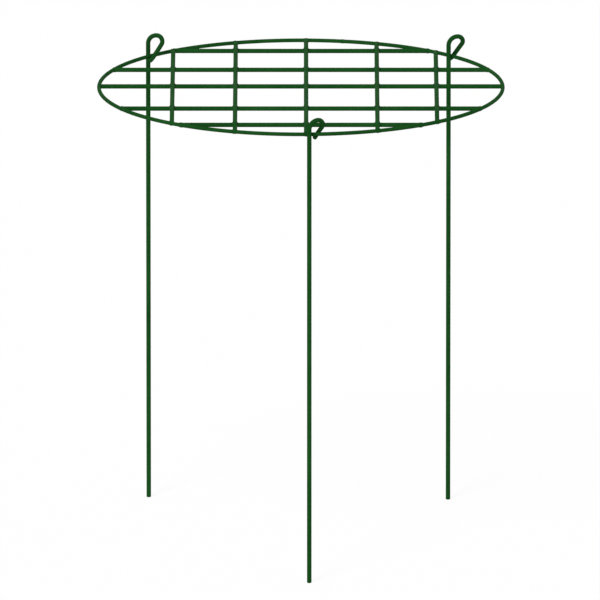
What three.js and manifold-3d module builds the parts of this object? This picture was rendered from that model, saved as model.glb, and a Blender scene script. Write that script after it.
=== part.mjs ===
// Grow-through plant support: a wire grid welded into a hoop, on three legs that hook over the hoop.
// Millimetres, +Z up. The origin is on the ground under the middle of the hoop, and -Y is the front.
import * as THREE from 'three';
import { mergeVertices } from 'three/addons/utils/BufferGeometryUtils.js';
import Module from 'manifold-3d';

// Driving sizes
const hoopDiameter = 400; // over the wire
const hoopHeight = 450; // ground to the middle of the hoop's wire
const hoopWire = 3.8;
const gridWire = 4.4;
const legWire = 4.5;
const seatGap = 0.3; // left between pieces that touch or are welded
const overrun = 6; // how far every cutter reaches past what it cuts

// Where the grid wires lie, as shares of the hoop's radius
const rowPlaceShares = [0.77, 0.365, 0.0124, -0.458, -0.802]; // back to front
const columnPlaceShares = [-0.6355, -0.3245, 0.0258, 0.377, 0.671]; // left to right

// Crossings: a column rides over the rows and sinks into them a little where it is welded
const weldSetDown = 0.8;
const joggleRun = 22; // length over which a column's end comes down to the hoop

// The leg's eye, seen from the front of the leg: up the shank, over the bow and down the tail
const bowRiseRadius = 8.6; // first bend, from the shank to the top
const bowFallRadius = 5.4; // second bend, from the top round into the tail
const tailLeanDegrees = 33.5; // the tail's lean from upright
const hookSpread = 5.2; // from the shank sideways to the tail, at the height of the hoop
const frontHookSpread = 9.2; // the front leg's hook stands more open, so its eye is lower
const hookPlay = 0.5; // the hoop's clearance in the hook
const hookEndShare = 0.72; // how much of a quarter turn the tail's end takes under the hoop
const hookEndShift = 3.4; // how far the tail's end runs along the hoop as it turns under
const tipRound = 0.9; // rounding of the leg's foot

// Each leg hooks on the hoop at its own place. A left-hand hook passes over the hoop towards the front.
const legPlaces = [
  { name: 'leg_front', seatDegrees: -86.45, yawDegrees: 6, hand: 1, spread: frontHookSpread },
  { name: 'leg_back_left', seatDegrees: 138.34, yawDegrees: 0, hand: -1, spread: hookSpread },
  { name: 'leg_back_right', seatDegrees: 41.57, yawDegrees: 0, hand: 1, spread: hookSpread },
];

// Fineness of the surfaces
const wireSides = 12;
const hoopSteps = 96;
const joggleSteps = 8;
const bendSteps = 12;
const footSides = 24;

const hoopRadius = (hoopDiameter - hoopWire) / 2;
const columnRise = gridWire - weldSetDown;
const hookDepth = legWire + hoopWire + 2 * hookPlay;
const tinyStepShare = 1e-4; // of a wire's length, for the direction at a place on it
const fullTurn = 2 * Math.PI;
const quarterTurn = Math.PI / 2;
const radians = THREE.MathUtils.degToRad;

const wasm = await Module();
wasm.setup();

// A closed solid from a three.js geometry
function toSolid(geometry) {
  const bare = geometry.index ? geometry.toNonIndexed() : geometry.clone();
  bare.deleteAttribute('normal');
  bare.deleteAttribute('uv');
  const merged = mergeVertices(bare);
  return new wasm.Manifold(new wasm.Mesh({
    numProp: 3,
    vertProperties: new Float32Array(merged.attributes.position.array),
    triVerts: new Uint32Array(merged.index.array),
  }));
}

function toGeometry(solid) {
  const mesh = solid.getMesh();
  const geometry = new THREE.BufferGeometry();
  geometry.setAttribute('position', new THREE.BufferAttribute(new Float32Array(mesh.vertProperties), 3));
  geometry.setIndex(new THREE.BufferAttribute(new Uint32Array(mesh.triVerts), 1));
  geometry.computeVertexNormals();
  return geometry;
}

const ease = (share) => share * share * (3 - 2 * share);

// A wire's middle line, given by its place at a distance along it, with stations where the wire is stepped
class WireLine extends THREE.Curve {
  constructor(placeAt, stations) {
    super();
    this.placeAt = placeAt;
    this.stations = stations;
    this.length = stations.at(-1);
  }

  distanceAt(share) {
    const along = share * (this.stations.length - 1);
    const before = Math.min(Math.floor(along), this.stations.length - 2);
    return THREE.MathUtils.lerp(this.stations[before], this.stations[before + 1], along - before);
  }

  getPoint(share, target = new THREE.Vector3()) {
    return target.copy(this.placeAt(this.distanceAt(share)));
  }

  getPointAt(share, target) {
    return this.getPoint(share, target);
  }

  getTangentAt(share, target = new THREE.Vector3()) {
    const distance = this.distanceAt(share);
    const step = tinyStepShare * this.length;
    const ahead = this.placeAt(Math.min(distance + step, this.length));
    const behind = this.placeAt(Math.max(distance - step, 0));
    return target.subVectors(ahead, behind).normalize();
  }
}

// A round wire swept along its middle line
function sweepWire(line, diameter) {
  const section = new THREE.Shape();
  section.absarc(0, 0, diameter / 2, 0, fullTurn);
  return new THREE.ExtrudeGeometry(section, {
    extrudePath: line,
    steps: line.stations.length - 1,
    curveSegments: wireSides / 2,
  });
}

// Stations from one distance to another, in equal steps, without the first
function evenStations(from, to, steps) {
  return Array.from({ length: steps }, (_, i) => THREE.MathUtils.lerp(from, to, (i + 1) / steps));
}

// The hoop
const hoopForm = new THREE.TorusGeometry(hoopRadius, hoopWire / 2, wireSides, hoopSteps);

// What a welded wire is cut back from: the hoop, grown by the gap
const clearanceRadius = hoopWire / 2 + seatGap;
const hoopClearance = toSolid(new THREE.TorusGeometry(hoopRadius, clearanceRadius, wireSides, hoopSteps));

// The space inside the hoop's middle line, where a grid wire may be
const insideRadius = hoopRadius - seatGap;
const insideHoop = toSolid(
  new THREE.CylinderGeometry(insideRadius, insideRadius, 2 * (overrun + gridWire), hoopSteps)
    .rotateX(quarterTurn),
);

// A grid wire's ends are coped to fit the inner side of the hoop
const copeToHoop = (wire) => wire.intersect(insideHoop).subtract(hoopClearance);

function rowForm(y, diameter) {
  const reach = Math.sqrt(hoopRadius ** 2 - y ** 2) + overrun;
  return new THREE.CylinderGeometry(diameter / 2, diameter / 2, 2 * reach, wireSides)
    .rotateZ(quarterTurn)
    .translate(0, y, 0);
}

const rowPlaces = rowPlaceShares.map((share) => share * hoopRadius);
const rowClearances = rowPlaces.map((y) => toSolid(rowForm(y, gridWire + 2 * seatGap)));

// A column runs from back to front, level over the rows and set down at both ends to the hoop's plane
function columnLine(x) {
  const reach = Math.sqrt(hoopRadius ** 2 - x ** 2);
  const rowsCrossed = rowPlaces.filter((y) => reach - Math.abs(y) > joggleRun);
  const lastBack = rowsCrossed[0] + gridWire / 2;
  const lastFront = -rowsCrossed.at(-1) + gridWire / 2;
  const runBack = Math.min(joggleRun, reach - lastBack - hoopWire);
  const runFront = Math.min(joggleRun, reach - lastFront - hoopWire);
  const length = 2 * (reach + overrun);
  const downBack = overrun + hoopWire;
  const upBack = downBack + runBack;
  const upFront = length - downBack - runFront;
  const downFront = length - downBack;
  const placeAt = (distance) => {
    const back = THREE.MathUtils.clamp((distance - downBack) / runBack, 0, 1);
    const front = THREE.MathUtils.clamp((downFront - distance) / runFront, 0, 1);
    return new THREE.Vector3(x, length / 2 - distance, columnRise * ease(Math.min(back, front)));
  };
  return new WireLine(placeAt, [
    0,
    downBack,
    ...evenStations(downBack, upBack, joggleSteps),
    upFront,
    ...evenStations(upFront, downFront, joggleSteps),
    length,
  ]);
}

// The leg's middle line from its foot, in its own frame: x sideways, y over the hoop, z up from the hoop.
// The hoop passes the hook at its own angle to x.
function legLine(hand, spread, hoopAngle) {
  const lean = radians(tailLeanDegrees);
  const bowEnd = bowRiseRadius + bowFallRadius * Math.cos(lean);
  const tailLength = (bowEnd - spread) / Math.sin(lean);
  const top = bowFallRadius * (1 + Math.sin(lean)) + tailLength * Math.cos(lean);
  const shankLength = hoopHeight + top - bowRiseRadius;
  const riseLength = bowRiseRadius * quarterTurn;
  const fallLength = bowFallRadius * (quarterTurn + lean);
  const bowStart = shankLength;
  const bowTop = bowStart + riseLength;
  const tailStart = bowTop + fallLength;
  const tailEnd = tailStart + tailLength;
  const faceOn = (distance) => {
    if (distance < bowStart) return [0, distance - hoopHeight];
    if (distance < bowTop) {
      const turn = (distance - bowStart) / bowRiseRadius;
      return [bowRiseRadius * (1 - Math.cos(turn)), top - bowRiseRadius * (1 - Math.sin(turn))];
    }
    if (distance < tailStart) {
      const turn = (distance - bowTop) / bowFallRadius;
      return [bowRiseRadius + bowFallRadius * Math.sin(turn), top - bowFallRadius * (1 - Math.cos(turn))];
    }
    const down = distance - tailStart;
    return [bowEnd - down * Math.sin(lean), (tailLength - down) * Math.cos(lean)];
  };

  // The tail's end turns under the hoop and goes on leaning, along the hoop
  const seat = new THREE.Vector3(spread / 2, hand * hookDepth / 2, 0);
  const start = seat.clone().multiplyScalar(2);
  const alongHoop = new THREE.Vector3(Math.cos(hoopAngle), Math.sin(hoopAngle), 0);
  const startPlace = seat.dot(alongHoop);
  const fromHoop = seat.clone().addScaledVector(alongHoop, -startPlace).normalize();
  const under = (legWire + hoopWire) / 2 + hookPlay;
  const turn = hookEndShare * quarterTurn;
  const end = seat.clone()
    .addScaledVector(alongHoop, startPlace - hookEndShift)
    .addScaledVector(fromHoop, under * Math.cos(turn))
    .setZ(-under * Math.sin(turn));
  const startWay = new THREE.Vector3(-Math.sin(lean), 0, -Math.cos(lean));
  const endWay = alongHoop.clone().multiplyScalar(-Math.sin(lean))
    .addScaledVector(fromHoop, -Math.sin(turn))
    .setZ(-Math.cos(turn))
    .normalize();
  const handle = start.distanceTo(end) / 3;
  const hookEnd = new THREE.CubicBezierCurve3(
    start,
    start.clone().addScaledVector(startWay, handle),
    end.clone().addScaledVector(endWay, -handle),
    end,
  );
  const length = tailEnd + hookEnd.getLength();
  const placeAt = (distance) => {
    if (distance > tailEnd) return hookEnd.getPointAt(Math.min((distance - tailEnd) / (length - tailEnd), 1));
    const across = ease(THREE.MathUtils.clamp((distance - bowStart) / (tailEnd - bowStart), 0, 1));
    const [x, z] = faceOn(distance);
    return new THREE.Vector3(x, hand * hookDepth * across, z);
  };
  const stations = [
    0,
    bowStart,
    ...evenStations(bowStart, bowTop, bendSteps),
    ...evenStations(bowTop, tailStart, bendSteps),
    ...evenStations(tailStart, tailEnd, bendSteps / 2),
    ...evenStations(tailEnd, length, bendSteps / 2),
  ];
  return { line: new WireLine(placeAt, stations), seat };
}

// Cuts the sharp corner off a leg's foot and leaves a flat face to stand on
function footCutter() {
  const flat = legWire / 2 - tipRound;
  const outside = legWire / 2 + overrun;
  const corner = new THREE.Path();
  corner.moveTo(flat, -overrun);
  corner.lineTo(outside, -overrun);
  corner.lineTo(outside, tipRound);
  corner.lineTo(legWire / 2, tipRound);
  corner.absarc(flat, tipRound, tipRound, 0, -quarterTurn, true);
  corner.lineTo(flat, -overrun);
  return toSolid(new THREE.LatheGeometry(corner.getPoints(bendSteps / 2), footSides).rotateX(quarterTurn));
}

function coating(name) {
  return new THREE.MeshStandardMaterial({ name, color: '#1a4d1d', roughness: 0.38, metalness: 0 });
}

function addPiece(parent, name, geometry) {
  const piece = new THREE.Mesh(geometry, coating(`${name}_coating`));
  piece.name = name;
  parent.add(piece);
  return piece;
}

function makeGrid() {
  const grid = new THREE.Group();
  grid.position.z = hoopHeight;
  addPiece(grid, 'hoop', hoopForm);
  rowPlaces.forEach((y, i) => {
    addPiece(grid, `row_wire_${i + 1}`, toGeometry(copeToHoop(toSolid(rowForm(y, gridWire)))));
  });
  columnPlaceShares.forEach((share, i) => {
    const wire = copeToHoop(toSolid(sweepWire(columnLine(share * hoopRadius), gridWire)));
    const saddled = rowClearances.reduce((left, row) => left.subtract(row), wire);
    addPiece(grid, `column_wire_${i + 1}`, toGeometry(saddled));
  });
  return grid;
}

function makeLeg({ name, seatDegrees, yawDegrees, hand, spread }) {
  const leg = new THREE.Group();
  const seatTurn = radians(seatDegrees);
  const yaw = radians(yawDegrees);
  leg.position.set(hoopRadius * Math.cos(seatTurn), hoopRadius * Math.sin(seatTurn), hoopHeight);
  leg.rotation.z = yaw;
  const hoopAngle = Math.atan(-1 / Math.tan(seatTurn)) - yaw;
  const { line, seat } = legLine(hand, spread, hoopAngle);
  const foot = footCutter().translate([0, 0, -hoopHeight]);
  const wire = toSolid(sweepWire(line, legWire)).subtract(foot);
  addPiece(leg, name, toGeometry(wire)).position.copy(seat).negate();
  return leg;
}

const support = new THREE.Group();
support.name = 'grow_through_plant_support';
support.add(makeGrid());
for (const place of legPlaces) support.add(makeLeg(place));

export default support;
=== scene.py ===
# Grow-through plant support: a wire grid welded into a hoop, on three legs that hook over the hoop.
# Metres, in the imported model's frame: +Z up, -Y the front, the ground at Z 0.
import math

import bpy
import numpy as np
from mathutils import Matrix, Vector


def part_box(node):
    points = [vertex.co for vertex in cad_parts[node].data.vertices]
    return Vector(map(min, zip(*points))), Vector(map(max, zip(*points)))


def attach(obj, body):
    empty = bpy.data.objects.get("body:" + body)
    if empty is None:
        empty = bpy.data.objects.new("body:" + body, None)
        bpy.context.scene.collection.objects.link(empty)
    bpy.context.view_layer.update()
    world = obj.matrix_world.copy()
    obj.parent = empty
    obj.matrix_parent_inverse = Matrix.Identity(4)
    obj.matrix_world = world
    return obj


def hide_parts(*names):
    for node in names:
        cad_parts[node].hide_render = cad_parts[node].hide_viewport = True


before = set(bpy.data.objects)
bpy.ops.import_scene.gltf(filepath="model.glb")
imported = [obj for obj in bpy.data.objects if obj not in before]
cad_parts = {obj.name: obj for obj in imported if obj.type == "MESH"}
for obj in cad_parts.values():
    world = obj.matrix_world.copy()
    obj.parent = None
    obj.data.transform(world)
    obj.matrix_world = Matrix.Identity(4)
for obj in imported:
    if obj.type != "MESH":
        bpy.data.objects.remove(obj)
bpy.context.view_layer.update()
print("frame loaded:", len(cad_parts), "nodes")

mm = 0.001
fullTurn = 2 * math.pi
quarterTurn = math.pi / 2
upWay = np.array([0.0, 0.0, 1.0])


# The middle and the size of a CAD node's box
def boxOf(node):
    low, high = (np.array(corner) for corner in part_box(node))
    return (low + high) / 2, high - low


# Each vector divided by its own length
def unit(vectors):
    return vectors / np.linalg.norm(vectors, axis=-1, keepdims=True)


# share x share x (3 - 2 x share), which leaves 0 level and reaches 1 level
def ease(share):
    held = np.clip(share, 0.0, 1.0)
    return held * held * (3 - 2 * held)


# Places from start to stop, both of them included, no further apart than step
def spaced(start, stop, step):
    return np.linspace(start, stop, max(int(math.ceil((stop - start) / step)), 1) + 1)


# Joins runs of places that share their ends. Rounding to a millionth of a millimetre drops the doubles
def joined(*runs):
    return np.unique(np.concatenate(runs).round(9))


# Puts points and faces into a mesh with smooth shading. faces is a list of index tables, one for each
# number of corners
def putMesh(name, points, faces):
    corners = np.concatenate([table.ravel() for table in faces]).astype(np.int32)
    counts = np.concatenate([np.full(len(table), table.shape[1]) for table in faces]).astype(np.int32)
    starts = np.concatenate([[0], np.cumsum(counts)[:-1]]).astype(np.int32)
    mesh = bpy.data.meshes.new(name)
    mesh.vertices.add(len(points))
    mesh.vertices.foreach_set("co", np.ascontiguousarray(points, dtype=np.float32).ravel())
    mesh.loops.add(len(corners))
    mesh.loops.foreach_set("vertex_index", corners)
    mesh.polygons.add(len(counts))
    mesh.polygons.foreach_set("loop_start", starts)
    mesh.polygons.foreach_set("use_smooth", np.ones(len(counts), dtype=bool))
    mesh.update(calc_edges=True)
    mesh.validate()
    piece = bpy.data.objects.new(name, mesh)
    bpy.context.scene.collection.objects.link(piece)
    return piece


# Faces between rings of points, each from (ring, side) by (ring, side + 1) and (ring + 1, side + 1) to
# (ring + 1, side). A closed row of rings joins its last ring to its first
def ringFaces(rings, sides, closed=False):
    ring, side = np.meshgrid(np.arange(rings if closed else rings - 1), np.arange(sides), indexing="ij")
    nextRing, nextSide = (ring + 1) % rings, (side + 1) % sides
    here, across = ring * sides + side, ring * sides + nextSide
    beyond, ahead = nextRing * sides + nextSide, nextRing * sides + side
    return np.stack([here, across, beyond, ahead], axis=-1).reshape(-1, 4)


# A fan of faces from a pole to each side of a ring, turned over for the far end
def poleFaces(pole, firstOfRing, sides, farEnd):
    side = np.arange(sides)
    here, following = firstOfRing + side, firstOfRing + (side + 1) % sides
    order = [here, following] if farEnd else [following, here]
    return np.stack([np.full(sides, pole), *order], axis=-1)


# A round profile carried along a path: centre + radius x (across x cos a + square x sin a). square is the
# given way over the path, made square to it, and across is square to both
def carryRound(centres, ways, over, radii, sides):
    square = unit(over - np.sum(over * ways, axis=-1, keepdims=True) * ways)
    across = np.cross(square, ways)
    turn = np.arange(sides)[None, :, None] / sides * fullTurn
    spokes = np.cos(turn) * across[:, None, :] + np.sin(turn) * square[:, None, :]
    return centres[:, None, :] + radii[:, None, None] * spokes


# How the mesh of a wire's rounded end is made, the same for every wire
wireEnd = {
    "rings": 8,
    "clear": 1.1,  # the wire's own rings start this many roundings from the end
    "lookAhead": 0.02 * mm,  # the path's way is taken between places this far to each side
}


# A wire with blunt ends. Near an end its radius is radius - rounding + sqrt(rounding^2 - (rounding -
# distance to the end)^2), and its own elsewhere. Its first and last rings close on a pole in a flat face
def bluntWire(name, placeAt, stations, radius, over, startRounding, endRounding, sides):
    length = stations[-1]
    corner = 1 - np.cos(np.linspace(0.0, quarterTurn, wireEnd["rings"]))
    past = stations > startRounding * wireEnd["clear"]
    short = stations < length - endRounding * wireEnd["clear"]
    along = np.concatenate([
        corner * startRounding,
        stations[past & short],
        length - corner[::-1] * endRounding,
    ])
    intoStart = np.clip(startRounding - along, 0.0, startRounding)
    intoEnd = np.clip(endRounding - (length - along), 0.0, endRounding)
    startRadii = radius - startRounding + np.sqrt(startRounding ** 2 - intoStart ** 2)
    endRadii = radius - endRounding + np.sqrt(endRounding ** 2 - intoEnd ** 2)

    centres = placeAt(along)
    ahead = placeAt(np.minimum(along + wireEnd["lookAhead"], length))
    behind = placeAt(np.maximum(along - wireEnd["lookAhead"], 0.0))
    over = np.broadcast_to(over, centres.shape)
    rings = carryRound(centres, unit(ahead - behind), over, np.minimum(startRadii, endRadii), sides)
    points = np.concatenate([rings.reshape(-1, 3), centres[:1], centres[-1:]])
    lastRing = (len(along) - 1) * sides
    nearFan = poleFaces(len(points) - 2, 0, sides, farEnd=False)
    farFan = poleFaces(len(points) - 1, lastRing, sides, farEnd=True)
    return putMesh(name, points, [ringFaces(len(along), sides), np.concatenate([nearFan, farFan])])


# The emptied node tree of a material or world
def emptyTree(owner):
    owner.use_nodes = True
    owner.node_tree.nodes.clear()
    return owner.node_tree.nodes, owner.node_tree.links


# The green coating of the wire. Its colour drifts between a deeper and a fresher green over some
# centimetres, with a fine speckle, and its skin has the low waves and fine grain of a baked-on coating.
# Each scale is the number of a noise's cells in a metre
coatingLook = {
    "deep": (0.0070, 0.0565, 0.0092, 1.0),
    "plain": (0.0085, 0.0640, 0.0106, 1.0),
    "fresh": (0.0105, 0.0725, 0.0126, 1.0),
    "driftScale": 26.0,
    "speckleScale": 900.0,
    "speckleShare": 0.10,  # how much lighter or darker a speckle is
    "glossScale": 130.0,
    "glossiest": 0.56,  # the roughness of its smoothest and its dullest places
    "dullest": 0.76,
    "specular": 0.012,  # kept low, because wires seen along their length mirror the white surround
    "waveScale": 240.0,
    "waveHeight": 0.08 * mm,
    "grainScale": 1900.0,
    "grainHeight": 0.010 * mm,
}
noiseLow, noiseHigh = 0.3, 0.7  # nearly all of a noise lies between these


# Makes the coating's material: noises on Object coordinates set its colour, its roughness and two bumps
def greenCoating(look):
    material = bpy.data.materials.new("greenCoating")
    nodes, links = emptyTree(material)
    place = nodes.new("ShaderNodeTexCoord").outputs["Object"]

    # A noise from 0 to 1. Each further octave is half as large as the last, and has the share of its height
    def noiseOf(scale, octaves, share=0.5):
        noise = nodes.new("ShaderNodeTexNoise")
        noise.inputs["Scale"].default_value = scale
        noise.inputs["Detail"].default_value = octaves
        noise.inputs["Roughness"].default_value = share
        links.new(place, noise.inputs["Vector"])
        return noise.outputs["Fac"]

    # low + (high - low) x (noise - noiseLow) / (noiseHigh - noiseLow), held between low and high
    def rangeOf(noise, low, high):
        spread = nodes.new("ShaderNodeMapRange")
        spread.inputs["From Min"].default_value = noiseLow
        spread.inputs["From Max"].default_value = noiseHigh
        spread.inputs["To Min"].default_value = low
        spread.inputs["To Max"].default_value = high
        links.new(noise, spread.inputs["Value"])
        return spread.outputs["Result"]

    # A bump of the given height in metres, on top of the one below it
    def bumpOf(noise, height, below=None):
        bump = nodes.new("ShaderNodeBump")
        bump.inputs["Distance"].default_value = height
        links.new(noise, bump.inputs["Height"])
        if below:
            links.new(below, bump.inputs["Normal"])
        return bump.outputs["Normal"]

    drift = nodes.new("ShaderNodeValToRGB")
    drift.color_ramp.elements[0].position = noiseLow
    drift.color_ramp.elements[0].color = look["deep"]
    drift.color_ramp.elements[1].position = noiseHigh
    drift.color_ramp.elements[1].color = look["fresh"]
    drift.color_ramp.elements.new((noiseLow + noiseHigh) / 2).color = look["plain"]
    links.new(noiseOf(look["driftScale"], octaves=3.0), drift.inputs["Fac"])
    colour = nodes.new("ShaderNodeVectorMath")
    colour.operation = "SCALE"
    links.new(drift.outputs["Color"], colour.inputs[0])
    speckle = noiseOf(look["speckleScale"], octaves=2.0)
    lightness = rangeOf(speckle, 1 - look["speckleShare"], 1 + look["speckleShare"])
    links.new(lightness, colour.inputs["Scale"])

    gloss = rangeOf(noiseOf(look["glossScale"], octaves=4.0, share=0.6), look["glossiest"], look["dullest"])
    waves = bumpOf(noiseOf(look["waveScale"], octaves=1.0), look["waveHeight"])
    grain = bumpOf(noiseOf(look["grainScale"], octaves=2.0), look["grainHeight"], below=waves)

    shader = nodes.new("ShaderNodeBsdfPrincipled")
    shader.inputs["Specular IOR Level"].default_value = look["specular"]
    links.new(colour.outputs["Vector"], shader.inputs["Base Color"])
    links.new(gloss, shader.inputs["Roughness"])
    links.new(grain, shader.inputs["Normal"])
    links.new(shader.outputs["BSDF"], nodes.new("ShaderNodeOutputMaterial").inputs["Surface"])
    return material


coating = greenCoating(coatingLook)
print("coating made")


# Finishes a piece: it takes the coating, rides on its body and stands for its CAD node where it has one
def finishPiece(piece, body, node=None):
    piece.data.materials.append(coating)
    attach(piece, body)
    if node:
        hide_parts(node)


# The hoop: one wire bent round and butt welded, with a low bead at the weld
hoopMiddle, hoopSize = boxOf("hoop")
hoop = {
    "radius": (hoopSize[0] - hoopSize[2]) / 2,  # of the wire's middle line
    "wire": hoopSize[2] / 2,  # the wire's own radius
    "height": hoopMiddle[2],
    "beadDegrees": 78.0,
    "beadHeight": 0.25 * mm,
    "beadWidth": 1.1 * mm,
    "rings": 960,
    "sides": 48,
}


# A ring of round wire: its middle line is radius x (cos a, sin a). The wire's radius is its own plus the
# bead's height x e^-(distance from the weld / width)^2
def makeHoop(plan):
    turn = np.arange(plan["rings"]) / plan["rings"] * fullTurn
    level = np.zeros_like(turn)
    centres = np.stack([np.cos(turn), np.sin(turn), level], axis=-1) * plan["radius"] + upWay * plan["height"]
    ways = np.stack([-np.sin(turn), np.cos(turn), level], axis=-1)
    fromBead = (turn - math.radians(plan["beadDegrees"])) * plan["radius"]
    radii = plan["wire"] + plan["beadHeight"] * np.exp(-((fromBead / plan["beadWidth"]) ** 2))
    rings = carryRound(centres, ways, np.broadcast_to(upWay, centres.shape), radii, plan["sides"])
    faces = ringFaces(plan["rings"], plan["sides"], closed=True)
    return putMesh("hoop_coated", rings.reshape(-1, 3), [faces])


finishPiece(makeHoop(hoop), "grid", "hoop")
print("hoop made")

# The grid: five rows in the hoop's plane, and five columns that run over them and come down to the hoop
rowPlaces = np.array([boxOf(f"row_wire_{number}")[0][1] for number in range(1, 6)])
columnPlaces = np.array([boxOf(f"column_wire_{number}")[0][0] for number in range(1, 6)])
columnSize = boxOf("column_wire_3")[1]
grid = {
    "wire": columnSize[0] / 2,  # the wires' radius
    "rise": columnSize[2] - columnSize[0],  # how much higher the columns lie than the rows
    "joggleRun": 22.0 * mm,  # a column comes down over this length, or less where a row is near
    "endRounding": 1.3 * mm,
    "step": 3.0 * mm,
    "joggleStep": 0.6 * mm,
    "sides": 48,
}
downStretch = 2 * hoop["wire"]  # a column's end lies in the hoop's plane over this length


# Half the length of a wire that crosses the hoop at a distance from its middle: sqrt(radius^2 - distance^2)
def reachAt(distance):
    return np.sqrt(hoop["radius"] ** 2 - np.asarray(distance) ** 2)


# The rows that a column crosses: those further in from the hoop than a joggle is long
def rowsCrossedAt(x):
    return rowPlaces[reachAt(x) - np.abs(rowPlaces) > grid["joggleRun"]]


# How long a column takes to come down at its back and its front: the joggle's run, or what is left between
# the last row's edge and the end's level stretch
def joggleRuns(x):
    crossed = rowsCrossedAt(x)
    room = reachAt(x) - grid["wire"] - downStretch
    backRun = min(grid["joggleRun"], room - crossed.max())
    frontRun = min(grid["joggleRun"], room + crossed.min())
    return backRun, frontRun


# A column's height over the hoop's plane: rise x ease(distance in from the level stretch / run), at the end
# that is nearer
def columnLift(y, reach, backRun, frontRun):
    back = (reach - y - downStretch) / backRun
    front = (reach + y - downStretch) / frontRun
    return grid["rise"] * ease(np.minimum(back, front))


# A row runs straight from hoop to hoop, from -reach to +reach in x
def makeRow(number, y, plan):
    reach = reachAt(y)

    # The row's middle line at a distance along it
    def placeAt(along):
        level = np.zeros_like(along)
        return np.stack([along - reach, level + y, level + hoop["height"]], axis=-1)

    rounding = plan["endRounding"]
    stations = spaced(0.0, 2 * reach, plan["step"])
    name = f"row_{number}_coated"
    return bluntWire(name, placeAt, stations, plan["wire"], upWay, rounding, rounding, plan["sides"])


# A column runs from back to front at its own x, from +reach to -reach in y, lifted by columnLift
def makeColumn(number, x, plan):
    reach = reachAt(x)
    backRun, frontRun = joggleRuns(x)

    # The column's middle line at a distance from its back end, measured in plan
    def placeAt(along):
        lift = columnLift(reach - along, reach, backRun, frontRun)
        return np.stack([np.full_like(along, x), reach - along, hoop["height"] + lift], axis=-1)

    upBy, downFrom = downStretch + backRun, 2 * reach - downStretch - frontRun
    stations = joined(
        spaced(0.0, upBy, plan["joggleStep"]),
        spaced(upBy, downFrom, plan["step"]),
        spaced(downFrom, 2 * reach, plan["joggleStep"]),
    )
    rounding = plan["endRounding"]
    name = f"column_{number}_coated"
    return bluntWire(name, placeAt, stations, plan["wire"], upWay, rounding, rounding, plan["sides"])


for number, y in enumerate(rowPlaces, start=1):
    finishPiece(makeRow(number, y, grid), "grid", f"row_wire_{number}")
for number, x in enumerate(columnPlaces, start=1):
    finishPiece(makeColumn(number, x, grid), "grid", f"column_wire_{number}")
print("rows and columns made")

# The welds, with the coating drawn over them: a low fillet in each corner between two wires
weld = {
    "fillet": 2.1 * mm,  # a fillet fills the corner where the two surfaces are closer than this
    "whole": 3.4 * mm,  # it is whole up to this distance from the weld's middle
    "reach": 6.6 * mm,  # and it is gone at this one
    "underSkin": 0.03 * mm,  # away from the fillet the weld's skin lies this far inside the wires
    "inward": 1.1 * mm,  # an end weld's middle lies this far in from the hoop's middle line
    "halvings": 34,
    "levels": 54,
    "sides": 80,
}
noFillet = 0.0001 * mm  # a fillet of zero is taken as this, so that nothing is divided by zero


# The lower of two distances, less fillet / 4 x (1 - their difference / fillet)^2 where they differ by less
def blend(first, second, fillet):
    near = np.clip(1 - np.abs(first - second) / np.maximum(fillet, noFillet), 0.0, 1.0)
    return np.minimum(first, second) - fillet / 4 * near ** 2


# The distance from a wire with a rounded end, for a place that is beside the wire's middle line by one
# distance and past its end by another: that to a smaller wire with a sharp end, less the rounding
def endedWire(beside, past):
    rounding = grid["endRounding"]
    outBeside, outPast = beside - grid["wire"] + rounding, past + rounding
    outside = np.hypot(np.maximum(outBeside, 0.0), np.maximum(outPast, 0.0))
    return outside + np.minimum(np.maximum(outBeside, outPast), 0.0) - rounding


# The distance from the hoop: that from its middle line, less the wire's radius
def hoopDistance(places):
    fromRing = np.hypot(places[..., 0], places[..., 1]) - hoop["radius"]
    return np.hypot(fromRing, places[..., 2] - hoop["height"]) - hoop["wire"]


# Closed skins round weld middles: middle + length x ray, over rays through a sphere's rings and poles.
# Halving finds the length at which the blended distance plus underSkin is zero, up to the reach. Each of the
# two functions gives the distance from one wire
def weldSkins(name, middles, firstOf, secondOf, plan):
    sides = plan["sides"]
    down = (np.arange(plan["levels"]) + 0.5) / plan["levels"] * math.pi
    down, turn = np.meshgrid(down, np.arange(sides) / sides * fullTurn, indexing="ij")
    rays = np.stack([np.sin(down) * np.cos(turn), np.sin(down) * np.sin(turn), np.cos(down)], axis=-1)
    rays = np.concatenate([rays.reshape(-1, 3), [upWay, -upWay]])

    # Where each ray of each weld is at the given lengths
    def placesAt(lengths):
        return middles[:, None, :] + lengths[..., None] * rays

    # The skin's distance at the given lengths: below zero inside it
    def skinAt(lengths):
        places = placesAt(lengths)
        left = 1 - ease((lengths - plan["whole"]) / (plan["reach"] - plan["whole"]))
        return blend(firstOf(places), secondOf(places), plan["fillet"] * left) + plan["underSkin"]

    inner = np.zeros((len(middles), len(rays)))
    outer = np.full_like(inner, plan["reach"])
    for _ in range(plan["halvings"]):
        half = (inner + outer) / 2
        within = skinAt(half) < 0
        inner, outer = np.where(within, half, inner), np.where(within, outer, half)

    pointsEach = len(rays)
    band = ringFaces(plan["levels"], sides)[:, ::-1]
    topFan = poleFaces(pointsEach - 2, 0, sides, farEnd=True)
    bottomFan = poleFaces(pointsEach - 1, (plan["levels"] - 1) * sides, sides, farEnd=False)
    firstPoint = (np.arange(len(middles)) * pointsEach)[:, None, None]
    fans = np.concatenate([topFan, bottomFan]) + firstPoint
    return putMesh(name, placesAt(outer).reshape(-1, 3), [
        (band + firstPoint).reshape(-1, 4),
        fans.reshape(-1, 3),
    ])


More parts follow.
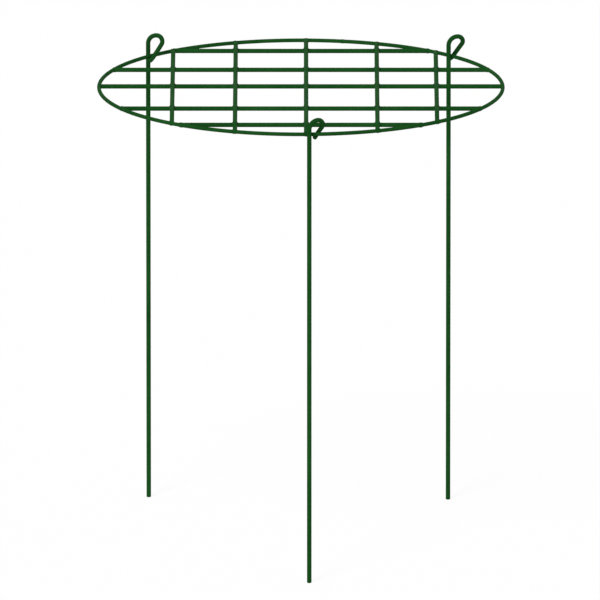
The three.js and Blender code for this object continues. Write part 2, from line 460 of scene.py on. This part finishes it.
# The welds where one column crosses its rows, halfway between the two wires' middle lines
def makeCrossingWelds(number, x):
    rows = rowsCrossedAt(x)
    halfway = np.full_like(rows, hoop["height"] + grid["rise"] / 2)
    middles = np.stack([np.full_like(rows, x), rows, halfway], axis=-1)

    # The distance from the row, a level wire along x
    def rowDistance(places):
        return np.hypot(places[..., 1] - rows[:, None], places[..., 2] - hoop["height"]) - grid["wire"]

    # The distance from the column, a level wire along y, over the row
    def columnDistance(places):
        height = hoop["height"] + grid["rise"]
        return np.hypot(places[..., 0] - x, places[..., 2] - height) - grid["wire"]

    return weldSkins(f"crossing_welds_{number}", middles, rowDistance, columnDistance, weld)


# Both ends of each of the given wires: -1 or 1 for the end's side, the wire's place and its reach
def bothEnds(places):
    side = np.repeat([-1.0, 1.0], len(places))
    place = np.tile(places, 2)
    return side, place, reachAt(place)


# The welds where the rows' ends meet the hoop
def makeRowEndWelds():
    side, y, reach = bothEnds(rowPlaces)
    middles = np.stack([side * (reach - weld["inward"]), y, np.full_like(y, hoop["height"])], axis=-1)

    # The distance from the row's end
    def rowDistance(places):
        beside = np.hypot(places[..., 1] - y[:, None], places[..., 2] - hoop["height"])
        return endedWire(beside, side[:, None] * places[..., 0] - reach[:, None])

    return weldSkins("row_end_welds", middles, hoopDistance, rowDistance, weld)


# The welds where the columns' ends meet the hoop
def makeColumnEndWelds():
    side, x, reach = bothEnds(columnPlaces)
    middles = np.stack([x, side * (reach - weld["inward"]), np.full_like(x, hoop["height"])], axis=-1)
    backRuns, frontRuns = np.array([joggleRuns(place) for place in x]).T[..., None]

    # The distance from the column's end, which is lifted by columnLift
    def columnDistance(places):
        lift = columnLift(places[..., 1], reach[:, None], backRuns, frontRuns)
        beside = np.hypot(places[..., 0] - x[:, None], places[..., 2] - hoop["height"] - lift)
        return endedWire(beside, side[:, None] * places[..., 1] - reach[:, None])

    return weldSkins("column_end_welds", middles, hoopDistance, columnDistance, weld)


for number, x in enumerate(columnPlaces, start=1):
    finishPiece(makeCrossingWelds(number, x), "grid")
finishPiece(makeRowEndWelds(), "grid")
finishPiece(makeColumnEndWelds(), "grid")
print("welds made")

# The legs: each is one wire, straight up from the foot, over the hoop in an eye, and turned in under the hoop
legShape = {
    "wire": 2.235 * mm,  # the wire's radius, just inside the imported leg's facets
    "fallRadius": 5.4 * mm,  # of the bend from the eye's top down to the tail
    "leanDegrees": 33.5,  # of the tail, from upright
    "hookDepth": 9.3 * mm,  # from the shank's side of the hoop to the tail's
    "hookPlay": 0.5 * mm,
    "underShare": 0.72,  # how far the hook's end turns under the hoop, 1 being right under it
    "runAlong": 3.4 * mm,  # how far it runs along the hoop meanwhile
    "footRounding": 0.9 * mm,
    "tipRounding": 0.6 * mm,
    "shankStep": 6.0 * mm,
    "bendStep": 0.25 * mm,
    "curveSteps": 400,
    "sides": 40,
}
# A left-hand hook has hand -1. spread is from the shank across to the tail, at the hoop's height. The front
# hook stands more open, so its eye is lower
legPlaces = {
    "leg_front": {"seatDegrees": -86.45, "yawDegrees": 6.0, "hand": 1, "spread": 9.2 * mm},
    "leg_back_left": {"seatDegrees": 138.34, "yawDegrees": 0.0, "hand": -1, "spread": 5.2 * mm},
    "leg_back_right": {"seatDegrees": 41.57, "yawDegrees": 0.0, "hand": 1, "spread": 5.2 * mm},
}


# A curve that leaves start and reaches end along two ways: start (1 - t)^3 + 3 first t (1 - t)^2 +
# 3 second t^2 (1 - t) + end t^3, with first and second a third of the distance along those ways. Gives the
# curve's length, and a function for the place at a distance along it
def curveBetween(start, startWay, end, endWay, steps):
    handle = np.linalg.norm(end - start) / 3
    first, second = start + startWay * handle, end - endWay * handle
    t = np.linspace(0.0, 1.0, steps)[:, None]
    outer = (1 - t) ** 3 * start + t ** 3 * end
    curve = outer + 3 * t * (1 - t) ** 2 * first + 3 * t ** 2 * (1 - t) * second
    along = np.concatenate([[0.0], np.cumsum(np.linalg.norm(np.diff(curve, axis=0), axis=1))])

    # The place at a distance along the curve
    def placeAt(distance):
        return np.stack([np.interp(distance, along, curve[:, axis]) for axis in range(3)], axis=-1)

    return along[-1], placeAt


# The hook's end, from the tail's end on one side of the hoop, round by underShare of a quarter turn, to a
# place under it, running along the hoop as it goes. seat is the hoop's place, halfway from shank to tail, and
# hoopAngle is the hoop's turn from x
def hookEnd(seat, hoopAngle, lean, plan):
    alongHoop = np.array([math.cos(hoopAngle), math.sin(hoopAngle), 0.0])
    tailAlong = seat @ alongHoop
    fromHoop = unit(seat - alongHoop * tailAlong)
    under = plan["wire"] + hoop["wire"] + plan["hookPlay"]
    turn = plan["underShare"] * quarterTurn
    start = 2 * seat
    end = seat + alongHoop * (tailAlong - plan["runAlong"])
    end = end + fromHoop * under * math.cos(turn) - upWay * under * math.sin(turn)
    tailWay = np.array([-math.sin(lean), 0.0, -math.cos(lean)])
    endWay = unit(-alongHoop * math.sin(lean) - fromHoop * math.sin(turn) - upWay * math.cos(turn))
    return curveBetween(start, tailWay, end, endWay, plan["curveSteps"])


# The leg's middle line, with x sideways, y over the hoop and z up from the hoop's middle line: straight up,
# a quarter turn at the rise radius, a turn past level at the fall radius, the leaning tail and the hook's
# end. Along the eye, y eases from the shank's side of the hoop to the tail's. Gives a function for the place
# at a distance from the foot, the distances to put rings at, and the seat
def legLine(place, top, hoopAngle, plan):
    lean = math.radians(plan["leanDegrees"])
    fall, depth, spread = plan["fallRadius"], place["hand"] * plan["hookDepth"], place["spread"]
    tail = (top - fall * (1 + math.sin(lean))) / math.cos(lean)
    rise = spread + tail * math.sin(lean) - fall * math.cos(lean)
    bowStart = hoop["height"] + top - rise
    bowTop = bowStart + rise * quarterTurn
    tailStart = bowTop + fall * (quarterTurn + lean)
    tailEnd = tailStart + tail

    seat = np.array([spread / 2, depth / 2, 0.0])
    endLength, endPlaceAt = hookEnd(seat, hoopAngle, lean, plan)

    # The place at a distance from the foot
    def placeAt(along):
        riseTurn = np.clip((along - bowStart) / rise, 0.0, quarterTurn)
        fallTurn = np.clip((along - bowTop) / fall, 0.0, quarterTurn + lean)
        down = np.clip(along - tailStart, 0.0, tail)
        x = rise * (1 - np.cos(riseTurn)) + fall * np.sin(fallTurn) - down * math.sin(lean)
        y = depth * ease((along - bowStart) / (tailEnd - bowStart))
        z = np.minimum(along, bowStart) - hoop["height"] + rise * np.sin(riseTurn)
        z = z - fall * (1 - np.cos(fallTurn)) - down * math.cos(lean)
        beforeEnd = (along <= tailEnd)[..., None]
        return np.where(beforeEnd, np.stack([x, y, z], axis=-1), endPlaceAt(along - tailEnd))

    stations = joined(
        spaced(0.0, bowStart, plan["shankStep"]),
        spaced(bowStart, tailEnd + endLength, plan["bendStep"]),
    )
    return placeAt, stations, seat


# A leg is its line turned by the yaw and moved so that its seat is on the hoop's middle line. Its top is
# taken from the CAD node's box. The hoop at the seat lies square to the way out from its middle
def makeLeg(name, place, plan):
    yaw, seatTurn = math.radians(place["yawDegrees"]), math.radians(place["seatDegrees"])
    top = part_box(name)[1][2] - plan["wire"] - hoop["height"]
    lineAt, stations, seat = legLine(place, top, math.atan(-1 / math.tan(seatTurn)) - yaw, plan)
    sideWay = np.array([math.cos(yaw), math.sin(yaw), 0.0])
    overWay = np.array([-math.sin(yaw), math.cos(yaw), 0.0])
    seatOnHoop = np.array([math.cos(seatTurn), math.sin(seatTurn), 0.0]) * hoop["radius"]

    # The line's x, y and z laid along sideWay, overWay and upWay, from the seat
    def placeAt(along):
        turned = (lineAt(along) - seat) @ np.stack([sideWay, overWay, upWay])
        return turned + seatOnHoop + upWay * hoop["height"]

    return bluntWire(
        f"{name}_coated", placeAt, stations, plan["wire"], overWay,
        plan["footRounding"], plan["tipRounding"], plan["sides"])


for name, place in legPlaces.items():
    finishPiece(makeLeg(name, place, legShape), name, name)
print("legs made")

# The studio: a pale floor, an even white surround and one soft lamp
studio = {
    "floorHalf": 30.0,  # half the floor's side, in metres
    "floorColour": (0.97, 0.97, 0.97, 1.0),
    "floorWhite": 0.90,  # the share of the floor that the camera sees as plain white
    "surroundLight": 0.50,
    "sunStrength": 2.0,
    "sunSoftness": 14.0,  # the lamp's width in the sky, in degrees, as its turn is
    "sunTurn": (38.0, 0.0, -28.0),
}
plainWhite = (1.0, 1.0, 1.0, 1.0)


# Mixes two shaders: one that lights the object, and one that is seen by the camera, in reflections and
# through glass. The part of the second is share for those rays and 0 for all others
def mixBySight(nodes, links, lighting, seen, share):
    ray = nodes.new("ShaderNodeLightPath")
    sight = ray.outputs["Is Camera Ray"]
    for kind in ("Is Glossy Ray", "Is Transmission Ray"):
        either = nodes.new("ShaderNodeMath")
        either.operation = "MAXIMUM"
        links.new(sight, either.inputs[0])
        links.new(ray.outputs[kind], either.inputs[1])
        sight = either.outputs["Value"]
    part = nodes.new("ShaderNodeMath")
    part.operation = "MULTIPLY"
    part.inputs[1].default_value = share
    links.new(sight, part.inputs[0])
    mixed = nodes.new("ShaderNodeMixShader")
    links.new(part.outputs["Value"], mixed.inputs["Fac"])
    links.new(lighting, mixed.inputs[1])
    links.new(seen, mixed.inputs[2])
    return mixed.outputs["Shader"]


# A level square with the object's shadow on it, and mostly plain white to the camera
def makeFloor(plan):
    square = np.array([[-1, -1, 0], [1, -1, 0], [1, 1, 0], [-1, 1, 0]]) * plan["floorHalf"]
    floor = putMesh("studio_floor", square, [np.array([[0, 1, 2, 3]])])
    material = bpy.data.materials.new("paleFloor")
    nodes, links = emptyTree(material)
    matt = nodes.new("ShaderNodeBsdfDiffuse")
    matt.inputs["Color"].default_value = plan["floorColour"]
    white = nodes.new("ShaderNodeEmission")
    white.inputs["Color"].default_value = plainWhite
    mixed = mixBySight(nodes, links, matt.outputs["BSDF"], white.outputs["Emission"], plan["floorWhite"])
    links.new(mixed, nodes.new("ShaderNodeOutputMaterial").inputs["Surface"])
    floor.data.materials.append(material)


# A white surround at the given strength as light, and at strength 1 where it is seen
def makeSurround(plan):
    world = bpy.data.worlds.new("whiteSurround")
    nodes, links = emptyTree(world)
    light, white = (nodes.new("ShaderNodeBackground") for _ in range(2))
    light.inputs["Color"].default_value = plainWhite
    light.inputs["Strength"].default_value = plan["surroundLight"]
    white.inputs["Color"].default_value = plainWhite
    mixed = mixBySight(nodes, links, light.outputs["Background"], white.outputs["Background"], share=1.0)
    links.new(mixed, nodes.new("ShaderNodeOutputWorld").inputs["Surface"])
    bpy.context.scene.world = world


# One soft lamp from above, in front and to the left
def makeSun(plan):
    sun = bpy.data.lights.new("softSun", "SUN")
    sun.energy = plan["sunStrength"]
    sun.angle = math.radians(plan["sunSoftness"])
    lamp = bpy.data.objects.new("softSun", sun)
    lamp.rotation_euler = [math.radians(turn) for turn in plan["sunTurn"]]
    bpy.context.scene.collection.objects.link(lamp)


makeFloor(studio)
makeSurround(studio)
makeSun(studio)
print("studio made")

# The camera stands far off with a long lens, because the photograph is drawn in parallel.
camera = {
    "elevationDegrees": 13.921,
    "distance": 26.2174,  # lengths here are in metres, but the lens and sensor in millimetres
    "aim": (-0.000869, 0.0, 0.234656),
    "lens": 1600.0,
    "sensor": 36.0,
    "nearest": 1.0,
    "furthest": 200.0,
}


# The camera is at aim + distance x (0, -cos elevation, sin elevation), and looks back along that way
def makeCamera(plan):
    elevation = math.radians(plan["elevationDegrees"])
    backward = np.array([0.0, -math.cos(elevation), math.sin(elevation)])
    data = bpy.data.cameras.new("photoCamera")
    data.lens = plan["lens"]
    data.sensor_width = plan["sensor"]
    data.clip_start = plan["nearest"]
    data.clip_end = plan["furthest"]
    viewer = bpy.data.objects.new("photoCamera", data)
    viewer.location = np.array(plan["aim"]) + backward * plan["distance"]
    viewer.rotation_euler = (quarterTurn - elevation, 0.0, 0.0)
    bpy.context.scene.collection.objects.link(viewer)
    bpy.context.scene.camera = viewer


makeCamera(camera)
bpy.context.scene.view_settings.view_transform = "Standard"
print("camera set")
